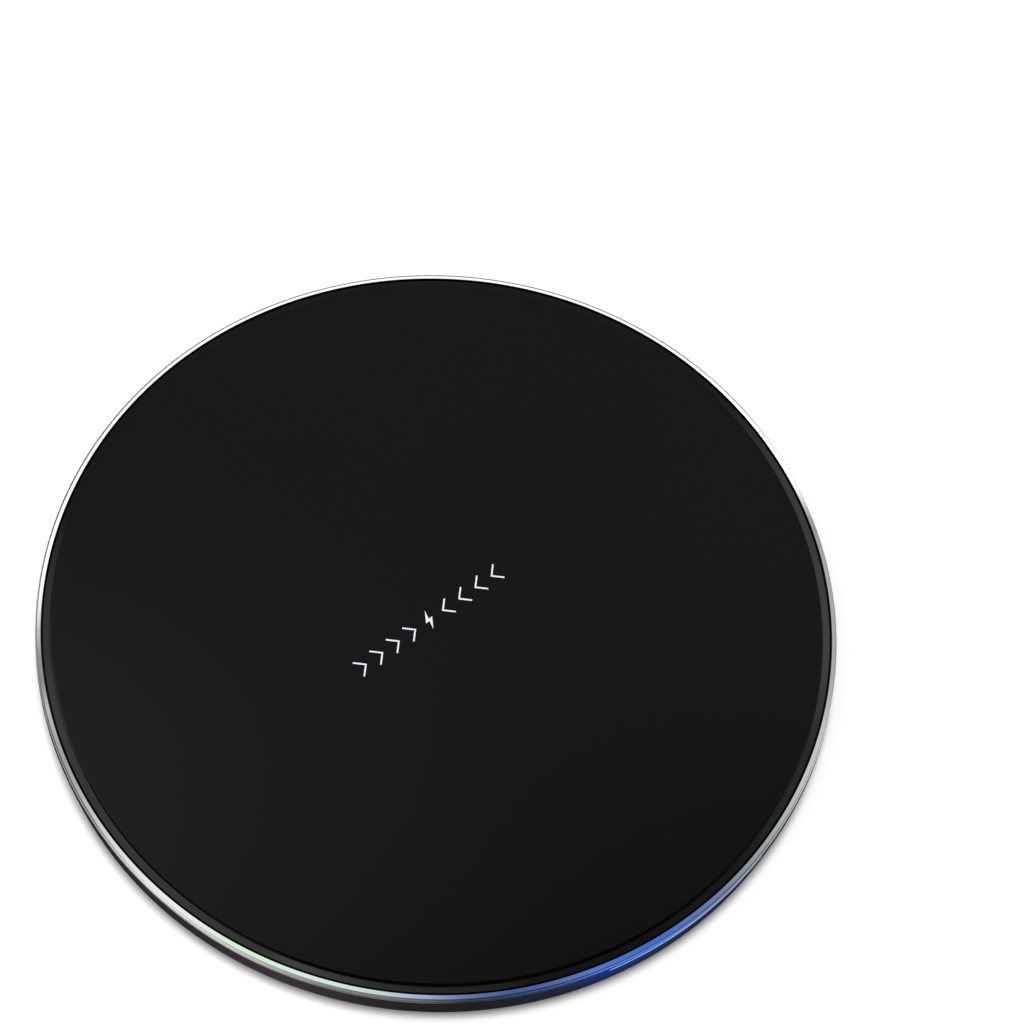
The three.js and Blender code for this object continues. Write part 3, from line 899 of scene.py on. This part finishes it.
def add_stroke(bm, points, width, low, high):
    """A bent line of even width through three points, as a thin plate."""
    start, middle, end = (Vector(point) for point in points)
    first = (middle - start).normalized()
    second = (end - middle).normalized()
    left_first = Vector((-first.y, first.x)) * width / 2
    left_second = Vector((-second.y, second.x)) * width / 2
    mitre = (left_first + left_second).normalized()
    mitre *= (width / 2) / mitre.dot(left_first.normalized())
    outline = [start + left_first, middle + mitre, end + left_second]
    outline += [end - left_second, middle - mitre, start - left_first]
    add_plate(bm, [tuple(point) for point in outline], low, high)


# ---------------- underside pieces

def make_foot(number, material):
    """A dished rubber foot with a rounded rim."""
    node = f"rubber_foot_{number}"
    low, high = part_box(node)
    centre = (low + high) / 2
    radius = (high.x - low.x) / 2
    corners = [
        (0, 0.15 * MM, 0),
        (0.7 * radius, 0.15 * MM, 0.1 * MM),
        (0.76 * radius, low.z, 0.12 * MM),
        (radius, low.z, 0.4 * MM),
        (radius, high.z, 0.05 * MM),
        (0, high.z, 0),
    ]
    stand_in(node, turned(corners, SMALL_STEPS, (centre.x, centre.y)), material)


def make_screw(number, material):
    """Pan-head screw, head down, with a cross recess and plain ridges for its thread."""
    node = f"base_screw_{number}"
    low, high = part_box(node)
    centre = (low + high) / 2
    head_radius = (high.x - low.x) / 2
    shank = 0.85 * MM
    core = 0.68 * MM
    head_top = low.z + 0.7 * MM
    tip = high.z - 0.3 * MM
    pitch = 0.5 * MM
    corners = [
        (0, low.z, 0),
        (head_radius - 0.5 * MM, low.z, 0.2 * MM),
        (head_radius, low.z + 0.35 * MM, 0.25 * MM),
        (head_radius, head_top, 0.05 * MM),
        (core, head_top, 0.05 * MM),
    ]
    height = head_top + 0.2 * MM
    while height + pitch < tip:
        corners += [(core, height, 0), (shank, height + 0.35 * pitch, 0), (core, height + 0.7 * pitch, 0)]
        height += pitch
    corners += [(core, tip, 0), (0, high.z, 0)]
    piece = stand_in(node, turned(corners, SCREW_STEPS, (centre.x, centre.y)), material)
    arm, half_slot = 1.1 * MM, 0.22 * MM
    for width, depth in ((arm, half_slot), (half_slot, arm)):
        outline = rectangle(centre.x - width, centre.y - depth, centre.x + width, centre.y + depth)
        reshape(piece, "DIFFERENCE", prism(outline, low.z - MM, low.z + 0.42 * MM))


def make_label(label_material, ink_material):
    """A blank rating label: a plate with round corners and a printed border."""
    low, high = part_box("rating_label")
    plate_low = low.z + 0.015 * MM
    plate = prism(rounded_outline(high.x, high.y, 1.5 * MM), plate_low, high.z)
    stand_in("rating_label", plate, label_material)
    margin = 0.9 * MM
    line = 0.25 * MM
    outer = rounded_outline(high.x - margin, high.y - margin, 1.0 * MM)
    inner = rounded_outline(high.x - margin - line, high.y - margin - line, 0.8 * MM)
    border = prism(outer, low.z, plate_low)
    piece = add_object("label_border", border, ink_material)
    reshape(piece, "DIFFERENCE", prism(inner, low.z - MM, high.z + MM))


# ---------------- coil stack

def make_coil(material):
    """A flat spiral of one round stranded wire, wound from the inside out."""
    low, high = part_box("coil_winding")
    outer = high.x
    inner = 10.25 * MM
    turns = 9
    wire = (outer - inner) / (turns + 1) / 2 - 0.006 * MM
    centre_z = (low.z + high.z) / 2
    first = inner + wire
    last = outer - wire
    steps_per_turn = 60
    sides = 12
    steps = turns * steps_per_turn
    bm = bmesh.new()
    across = bm.loops.layers.uv.new("UVMap")
    rings = []
    for step in range(steps + 1):
        angle = math.pi / 2 + 2 * math.pi * step / steps_per_turn
        radius = first + (last - first) * step / steps
        ring = []
        for side in range(sides):
            around = 2 * math.pi * side / sides
            reach = radius + wire * math.cos(around)
            place = (reach * math.cos(angle), reach * math.sin(angle), centre_z + wire * math.sin(around))
            ring.append(bm.verts.new(place))
        rings.append(ring)
    for step in range(steps):
        for side in range(sides):
            after = (side + 1) % sides
            here, ahead = rings[step], rings[step + 1]
            face = bm.faces.new((here[side], here[after], ahead[after], ahead[side]))
            ends = ((step, side), (step, side + 1), (step + 1, side + 1), (step + 1, side))
            for loop, (along, share) in zip(face.loops, ends):
                loop[across].uv = (along / steps_per_turn, share / sides)
    bm.faces.new(rings[0])
    bm.faces.new(rings[-1])
    stand_in("coil_winding", to_mesh(bm), material)


def make_foam_pad(material):
    """A round cut foam pad: its squeezed side bulges, and its rims are soft."""
    low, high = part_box("coil_foam_pad")
    bulge = high.x
    rim = high.x - 0.25 * MM
    corners = [
        (0, low.z, 0),
        (rim, low.z, 0.25 * MM),
        (bulge, (low.z + high.z) / 2, 1.2 * MM),
        (rim, high.z, 0.25 * MM),
        (0, high.z, 0),
    ]
    piece = stand_in("coil_foam_pad", turned(corners, 128), material)


# ---------------- parts on the board

def soft_block(low, high, edge, steps=2):
    """A box with rounded edges."""
    bm = bmesh.new()
    bmesh.ops.create_cube(bm, size=1)
    for vert in bm.verts:
        vert.co = [low[axis] + (high[axis] - low[axis]) * (vert.co[axis] + 0.5) for axis in range(3)]
    bmesh.ops.bevel(bm, geom=bm.edges[:], offset=edge, segments=steps, profile=0.5, affect="EDGES")
    return to_mesh(bm)


def make_chip(node, pads_per_side, body_material, pad_material):
    """A moulded chip with a pin-one dimple, and its tinned pads along two or four sides."""
    low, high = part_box(node)
    inset = Vector((0.04, 0.04, 0)) * MM
    body = soft_block(low + inset, high - inset, 0.06 * MM)
    piece = stand_in(node, body, body_material)
    corner = Vector((low.x + 0.9 * MM, high.y - 0.9 * MM, 0))
    reshape(piece, "DIFFERENCE", disc(0.3 * MM, high.z - 0.06 * MM, high.z + MM, corner, 24))
    bm = bmesh.new()
    across, deep = pads_per_side
    pad = 0.13 * MM
    top = low.z + 0.2 * MM
    reach = 0.35 * MM
    for count, axis in ((across, 0), (deep, 1)):
        for number in range(count):
            share = (number + 1) / (count + 1)
            along = low[axis] + (high[axis] - low[axis]) * share
            near, far = low[1 - axis], high[1 - axis]
            for inner, outer in ((near, near + reach), (far - reach, far)):
                spans = [(along - pad, along + pad), (inner, outer)]
                (x0, x1), (y0, y1) = spans if axis == 0 else spans[::-1]
                add_plate(bm, rectangle(x0, y0, x1, y1), low.z, top)
    add_object(node + "_pads", to_mesh(bm), pad_material)


def make_end_capped(node, body_material, cap_material):
    """A ceramic block part with a tinned cap at each end."""
    low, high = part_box(node)
    cap = 0.45 * MM
    skin = 0.03 * MM
    inset = Vector((cap - 0.05 * MM, skin, skin))
    stand_in(node, soft_block(low + inset, high - inset, 0.05 * MM), body_material)
    for side, start in (("left", low.x), ("right", high.x - cap)):
        end = Vector((start + cap, high.y, high.z))
        mesh = soft_block(Vector((start, low.y, low.z)), end, 0.08 * MM)
        add_object(f"{node}_cap_{side}", mesh, cap_material)


def make_inductor(body_material, pad_material):
    """A moulded power inductor on two wrapped pads."""
    low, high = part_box("filter_inductor")
    skin = 0.05 * MM
    body_low = low + Vector((skin, 0, skin))
    body_high = high - Vector((skin, 0, 0))
    body = soft_block(body_low, body_high, 0.25 * MM, 4)
    stand_in("filter_inductor", body, body_material)
    middle = (low.y + high.y) / 2
    for side, x0, x1 in (("left", low.x, low.x + 0.9 * MM), ("right", high.x - 0.9 * MM, high.x)):
        name = f"filter_inductor_pad_{side}"
        pad_low = Vector((x0, middle - 1.2 * MM, low.z))
        pad_high = Vector((x1, middle + 1.2 * MM, low.z + 0.5 * MM))
        add_object(name, soft_block(pad_low, pad_high, 0.04 * MM), pad_material)


def make_led(side, body_material, window_material):
    """A side-firing LED: a white frame round a window that faces the light guide."""
    node = f"indicator_led_{side}"
    low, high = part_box(node)
    centre = (low + high) / 2
    turn = math.atan2(centre.x, -centre.y)
    half = Vector((1.48, 0.48, (high.z - low.z) / 2 / MM)) * MM
    body = soft_block(-half, half, 0.05 * MM)
    window_half = Vector((1.1, 0.06, 0.26)) * MM
    window_centre = Vector((0, -half.y + 0.06 * MM, 0))
    piece = stand_in(node, body, body_material)
    opening = soft_block(-window_half * 1.05, window_half * 1.05, 0.02 * MM)
    opening.transform(Matrix.Translation(window_centre - Vector((0, 0.03 * MM, 0))))
    reshape(piece, "DIFFERENCE", opening)
    window = soft_block(-window_half, window_half, 0.02 * MM)
    window.transform(Matrix.Translation(window_centre))
    pane = add_object(node + "_window", window, window_material)
    for part in (piece, pane):
        part.data.transform(Matrix.Translation(centre) @ Matrix.Rotation(turn, 4, "Z"))


def make_socket(shell_material, tongue_material, contact_material):
    """The power socket: a drawn steel shell with a rolled lip, and its tongue with contact strips."""
    low, high = socket_box()
    half_width = 4.47 * MM
    radius = (high.z - low.z) / 2
    middle = (high.z + low.z) / 2
    wall = 0.3 * MM
    mouth, back = high.y, low.y
    roll = 0.12 * MM
    section = [
        (0, back),
        (0, mouth - roll),
        (0.3 * roll, mouth - 0.3 * roll),
        (roll, mouth),
        (wall - 0.3 * roll, mouth - 0.3 * roll),
        (wall, mouth - roll),
        (wall, back),
    ]
    loops = [(half_width - inset, radius - inset, y) for inset, y in section]
    body = slot_body(loops, middle, True)
    piece = stand_in("socket_shell", body, shell_material)
    tab_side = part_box("socket_shell")[1].x
    board_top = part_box("circuit_board")[1].z
    for side in (-1, 1):
        near, far = sorted((side * (half_width - 0.2 * MM), side * tab_side))
        tab_low = Vector((near, mouth - 6.5 * MM, board_top + 0.02 * MM))
        tab_high = Vector((far, mouth - 4.5 * MM, board_top + 0.35 * MM))
        reshape(piece, "UNION", soft_block(tab_low, tab_high, 0.05 * MM))

    tongue_low, tongue_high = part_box("socket_tongue")
    plug_radius = (tongue_high.z - tongue_low.z) / 2
    plug = [(tongue_high.x, plug_radius, tongue_low.y + depth) for depth in (0, 1.6 * MM)]
    root = slot_body(plug, middle, False)
    tongue = stand_in("socket_tongue", root, tongue_material)
    half_tongue = 3.35 * MM
    thickness = 0.32 * MM
    blade_low = Vector((-half_tongue, tongue_low.y + 0.4 * MM, middle - thickness))
    blade_high = Vector((half_tongue, tongue_high.y, middle + thickness))
    reshape(tongue, "UNION", soft_block(blade_low, blade_high, 0.15 * MM))

    bm = bmesh.new()
    contacts = 12
    pitch = 0.5 * MM
    strip = 0.12 * MM
    for number in range(contacts):
        x = (number - (contacts - 1) / 2) * pitch
        outline = rectangle(x - strip, tongue_low.y + 1.7 * MM, x + strip, tongue_high.y - 0.5 * MM)
        add_plate(bm, outline, middle + thickness - 0.01 * MM, middle + thickness + 0.02 * MM)
        add_plate(bm, outline, middle - thickness - 0.02 * MM, middle - thickness + 0.01 * MM)
    add_object("socket_contacts", to_mesh(bm), contact_material)


CHIP_PADS = {    # along the front and back, and along the sides
    "controller_chip": (10, 10),
    "bridge_chip_left": (4, 0),
    "bridge_chip_right": (4, 0),
    "regulator_chip": (4, 4),
}

CARRIED_OVER = {
    "adhesive": ["glass_adhesive_ring", "coil_tape", "ferrite_tape"],
    "white_moulding": ["coil_carrier"],
    "copper": ["coil_lead_inner", "coil_lead_outer"],
    "ferrite": ["ferrite_plate"],
    "board": ["circuit_board"],
    "chip_black": ["thermistor"],
}


def dress_carried_over(looks):
    """Gives the CAD pieces whose shape is right their finished materials."""
    for slot, nodes in CARRIED_OVER.items():
        for node in nodes:
            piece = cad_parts[node]
            for material_slot in piece.material_slots:
                material_slot.material = looks[slot]


make_camera()

# Plain materials: dark and light tone, roughness, and the scales of the grain and of the tone.
GRAINED = {
    "label": ((0.45, 0.45, 0.46), (0.55, 0.55, 0.56), 0.4, 3000, 90),
    "adhesive": ((0.62, 0.60, 0.55), (0.72, 0.70, 0.65), 0.5, 2500, 120),
    "white_moulding": ((0.62, 0.62, 0.60), (0.72, 0.72, 0.70), 0.45, 2200, 150),
    "ferrite": ((0.045, 0.045, 0.05), (0.075, 0.075, 0.08), 0.5, 3500, 260),
    "foam": ((0.05, 0.05, 0.055), (0.10, 0.10, 0.105), 0.9, 2600, 1400),
    "chip_black": ((0.018, 0.018, 0.02), (0.03, 0.03, 0.032), 0.5, 6000, 500),
    "capacitor": ((0.40, 0.28, 0.17), (0.50, 0.36, 0.23), 0.4, 5000, 700),
    "led": ((0.72, 0.72, 0.70), (0.82, 0.82, 0.80), 0.4, 5000, 400),
}

looks = {name: make_grained(name, *values) for name, values in GRAINED.items()}
looks["steel"] = make_steel()
looks["rubber"] = make_rubber()
looks["ink"] = make_ink()
looks["copper"] = make_copper()
looks["board"] = make_board()

make_top_glass(make_black_glass())
make_bezel(make_polished_aluminium())
make_base(make_black_moulding())
make_light_guide(make_light_guide_look())
make_mark(looks["ink"])

for number in range(1, 5):
    make_foot(number, looks["rubber"])
    make_screw(number, looks["steel"])
make_label(looks["label"], looks["ink"])

make_coil(make_copper_wire())
make_foam_pad(looks["foam"])
for node, pads in CHIP_PADS.items():
    make_chip(node, pads, looks["chip_black"], looks["steel"])
for node in ("input_capacitor_1", "input_capacitor_2", *(f"resonant_capacitor_{n}" for n in range(1, 5))):
    make_end_capped(node, looks["capacitor"], looks["steel"])
make_end_capped("current_sense_resistor", looks["chip_black"], looks["steel"])
make_inductor(looks["ferrite"], looks["steel"])
glowing_window = make_glowing_window()
make_led("left", looks["led"], glowing_window)
make_led("right", looks["led"], glowing_window)
make_socket(looks["steel"], looks["chip_black"], looks["copper"])
dress_carried_over(looks)


# ---------------- stage and light

def make_floor():
    look = Shader("floor", grey(0.73), 0.7, Specular_IOR_Level=0.1)
    look.feed("Base Color", look.drift(3, 2, grey(0.77), grey(0.785)))
    reach = 4    # metres
    depth = 2 * MM
    mesh = turned([(0, -depth, 0), (reach, -depth, 0), (reach, 0, 0), (0, 0, 0)], 96)
    mesh.materials.append(look.material)
    floor = new_object("floor", mesh)


def make_sun(name, turn, elevation, strength, angle, glossy):
    data = bpy.data.lights.new(name, "SUN")
    data.energy = strength
    data.angle = math.radians(angle)
    light = new_object(name, data)
    direction = camera_direction(turn, elevation)
    light.rotation_euler = direction.to_track_quat("Z", "Y").to_euler()
    light.visible_glossy = glossy


# Soft round patches of the studio's sky, seen from the pad: turn from the camera's side, elevation,
# radius, softness (all in degrees) and level.
BRIGHT_PANELS = [
    (-67.5, 75.5, 24, 10, 0.68),    # overhead, on the left
    (-7.5, 82, 10, 2, 0.83),        # straight overhead
    (140, 44, 9, 8, 0.80),          # far right
    (118, 49, 11, 6.5, 0.29),       # right
    (244, 48, 6, 9, 0.62),          # far left
    (103, 46, 9, 6, 0.13),          # right, nearer
    (244, 37, 5, 4, 0.38),          # far left, low
    (151, 25, 7, 4, 1.05),          # far right, low
]
HORIZON_GAP = (193, 22, 32, 10, 0.38)
CEILING_SHADES = [    # dark patches that the glass mirrors in its rounded edge
    (147, 84, 15, 6.5, 0.974),
    (224, 72, 5.5, 2.5, 0.95),
]
HORIZON_HEIGHT = math.radians(30.8)
HORIZON_SOFTNESS = math.radians(1)
HORIZON_LEVEL = 1.63
AMBIENT_LEVEL = 0.224


class Studio(NodeMaker):
    """World shader: a bright low horizon, a dim ceiling and soft panels."""

    def __init__(self):
        bpy.context.scene.world = bpy.data.worlds.new("studio")
        super().__init__(bpy.context.scene.world, "Generated")

    def step(self, source, source_low, source_high, low, high):
        return self.spread(source, low, high, source_low, source_high, "SMOOTHSTEP")

    def along(self, direction):
        node = self.add("VectorMath", {0: self.place, 1: direction})
        node.operation = "DOT_PRODUCT"
        return node.outputs["Value"]

    def patch(self, place, inside, outside):
        """One level inside a soft round patch of the sky and another outside it."""
        turn, elevation, radius, softness, _ = place
        direction = camera_direction(turn, elevation)
        edge = math.cos(math.radians(radius + softness))
        core = math.cos(math.radians(max(radius - softness, 0)))
        return self.step(self.along(direction), edge, core, outside, inside)


def make_world():
    studio = Studio()
    # The bright horizon reaches a little higher on the left and on the camera's side.
    tilt = 0.127 * camera_direction(90, 0) + 0.064 * camera_direction(180, 0)
    height = studio.along(Vector((0, 0, 1)) + tilt)
    low_edge = math.sin(HORIZON_HEIGHT - HORIZON_SOFTNESS)
    high_edge = math.sin(HORIZON_HEIGHT + HORIZON_SOFTNESS)
    above = studio.step(height, low_edge, high_edge, 0, 1)
    level = studio.math("MULTIPLY", studio.math("SUBTRACT", 1, above), HORIZON_LEVEL - AMBIENT_LEVEL)
    level = studio.math("MULTIPLY", level, studio.patch(HORIZON_GAP, 1 - HORIZON_GAP[-1], 1))
    level = studio.math("ADD", level, AMBIENT_LEVEL)
    for panel in BRIGHT_PANELS:
        level = studio.math("ADD", level, studio.patch(panel, panel[-1], 0))
    for shade in CEILING_SHADES:
        level = studio.math("MULTIPLY", level, studio.patch(shade, 1 - shade[-1], 1))
    studio.links.new(level, studio.nodes["Background"].inputs["Color"])


make_floor()
make_world()
make_sun("key", turn=0, elevation=88, strength=2.7, angle=15, glossy=False)
bpy.context.scene.view_settings.view_transform = "Standard"
